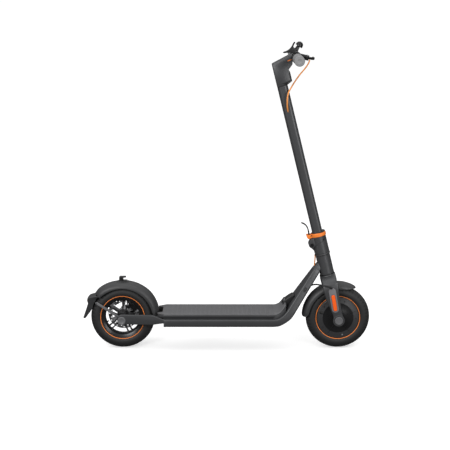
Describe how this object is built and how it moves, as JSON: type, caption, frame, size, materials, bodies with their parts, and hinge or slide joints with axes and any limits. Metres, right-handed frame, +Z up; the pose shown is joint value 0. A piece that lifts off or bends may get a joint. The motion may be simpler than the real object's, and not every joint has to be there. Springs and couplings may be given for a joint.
{
  "type": "electric kick scooter",
  "caption": "Folding electric kick scooter in charcoal with orange accents, hub-motor front wheel, disc-braked spoked rear wheel and grey deck mat",
  "frame": {"origin": "on the ground, under the middle of the whole scooter", "axes": "+X forwards, towards the front wheel; +Y the rider's left, along the handlebar; +Z up"},
  "size_m": [1.142, 0.48, 1.2079],
  "materials": {
    "frame_paint": "satin charcoal powder coat",
    "guard_plastic": "fine textured moulding",
    "mat_rubber": "ribbed grey mat",
    "grip_rubber": "soft grey",
    "black_rubber": "smooth sheath",
    "tyre_rubber": "matt with fine tread",
    "wheel_paint": "satin black",
    "black_metal": "satin black",
    "grey_cap": "smooth grey",
    "orange_metal": "anodised orange",
    "orange_plastic": "reflector",
    "orange_cable": "smooth sheath",
    "control_plastic": "satin black",
    "steel": "brushed",
    "pad_lining": "sintered lining",
    "battery_wrap": "shrink wrap",
    "cast_aluminium": "cast",
    "copper_winding": "enamelled copper",
    "display_glass": "polished black",
    "lamp_lens": "clear",
    "red_lens": "red lens"
  },
  "bodies": {
    "frame": {"deck_tray": "frame_paint", "neck_tube": "frame_paint", "head_tube": "frame_paint", "deck_mat": "mat_rubber", "bottom_cover": "guard_plastic", "battery_pack": "battery_wrap", "controller": "cast_aluminium", "charge_housing": "guard_plastic", "deck_screws": "steel", "rear_arm_left": "frame_paint", "rear_arm_right": "frame_paint", "rear_fender": "guard_plastic", "fender_stays": "grey_cap", "fender_hook": "guard_plastic", "tail_light": "red_lens", "rear_axle": "steel", "rear_axle_caps": "grey_cap", "brake_caliper": "black_metal", "brake_pads": "pad_lining", "rear_brake_cable": "orange_cable", "kickstand_bracket": "black_metal", "headset_bearings": "steel", "motor_cable": "black_rubber", "neck_brake_cable": "orange_cable"},
    "rear_wheel": {"rear_tyre": "tyre_rubber", "rear_rim": "wheel_paint", "brake_rotor": "steel", "rear_bearings": "steel"},
    "front_wheel": {"front_tyre": "tyre_rubber", "motor_shell": "wheel_paint", "hub_cover": "wheel_paint", "front_bearings": "steel"},
    "steering": {"fork": "frame_paint", "fork_covers": "grey_cap", "fork_reflectors": "orange_plastic", "front_fender": "guard_plastic", "front_axle": "steel", "front_axle_caps": "grey_cap", "motor_stator": "copper_winding", "folding_base": "frame_paint", "hinge_pin": "steel"},
    "stem": {"stem_foot": "frame_paint", "stem_tube": "frame_paint", "lock_collar": "orange_metal", "stem_head": "frame_paint", "dashboard": "display_glass", "headlight": "lamp_lens", "handlebar": "black_metal", "grips": "grip_rubber", "bar_clamps": "guard_plastic", "bell": "guard_plastic", "upper_brake_cable": "orange_cable"},
    "release_lever": {"fold_lever": "control_plastic"},
    "throttle": {"throttle_paddle": "control_plastic"},
    "brake_grip": {"brake_lever": "black_metal"},
    "striker": {"bell_striker": "steel"},
    "power_key": {"power_button": "control_plastic"},
    "stand": {"kickstand_leg": "black_metal"},
    "port_cap": {"charge_cap": "mat_rubber"},
    "brake_arm": {"caliper_arm": "steel"}
  },
  "joints": [
    {"name": "steering", "type": "hinge", "parent": "frame", "child": "steering", "pos_m": [0.39078, 0, 0.34047], "axis": [-0.2419, 0, 0.9703], "range_deg": [-50, 50], "deforming": ["motor_cable", "neck_brake_cable"]},
    {"name": "rear_wheel_spin", "type": "hinge", "parent": "frame", "child": "rear_wheel", "pos_m": [-0.412, 0, 0.127], "axis": [0, 1, 0], "continuous": true},
    {"name": "front_wheel_spin", "type": "hinge", "parent": "steering", "child": "front_wheel", "pos_m": [0.444, 0, 0.127], "axis": [0, 1, 0], "continuous": true},
    {"name": "stem_fold", "type": "hinge", "parent": "steering", "child": "stem", "pos_m": [0.33735, 0, 0.42248], "axis": [0, -1, 0], "range_deg": [0, 87]},
    {"name": "fold_release", "type": "hinge", "parent": "stem", "child": "release_lever", "pos_m": [0.32488, 0, 0.45389], "axis": [0, -1, 0], "range_deg": [0, 70], "stiffness_Nm_per_rad": 0.15, "springref_deg": -11.46},
    {"name": "throttle_press", "type": "hinge", "parent": "stem", "child": "throttle", "pos_m": [0.26622, -0.0925, 1.15503], "axis": [0, -1, 0], "range_deg": [0, 25], "stiffness_Nm_per_rad": 0.25, "springref_deg": -17.19},
    {"name": "brake_squeeze", "type": "hinge", "parent": "stem", "child": "brake_grip", "pos_m": [0.31486, 0.11, 1.14344], "axis": [0.2317, 0, 0.9728], "range_deg": [0, 15], "stiffness_Nm_per_rad": 1.2, "springref_deg": -11.46},
    {"name": "bell_flick", "type": "hinge", "parent": "stem", "child": "striker", "pos_m": [0.25722, 0.088, 1.18403], "axis": [0, -1, 0], "range_deg": [0, 20], "stiffness_Nm_per_rad": 0.004, "springref_deg": -11.46},
    {"name": "power_press", "type": "slide", "parent": "stem", "child": "power_key", "axis": [0.4679, 0, -0.8838], "range_m": [0, 0.0012], "stiffness_N_per_m": 600, "springref_m": -0.0006},
    {"name": "kickstand_fold", "type": "hinge", "parent": "frame", "child": "stand", "pos_m": [-0.032, 0.087, 0.11], "axis": [0, -0.9673, -0.2538], "range_deg": [0, 98]},
    {"name": "port_cap_lift", "type": "hinge", "parent": "frame", "child": "port_cap", "pos_m": [0.2314, 0, 0.20303], "axis": [0, 1, 0], "range_deg": [0, 95]},
    {"name": "caliper_pull", "type": "hinge", "parent": "frame", "child": "brake_arm", "pos_m": [-0.36757, 0.056, 0.16428], "axis": [0, 1, 0], "range_deg": [0, 14]}
  ],
  "couplings": [
    {"joint": "caliper_pull", "follows": "brake_squeeze", "ratio": 0.9}
  ]
}
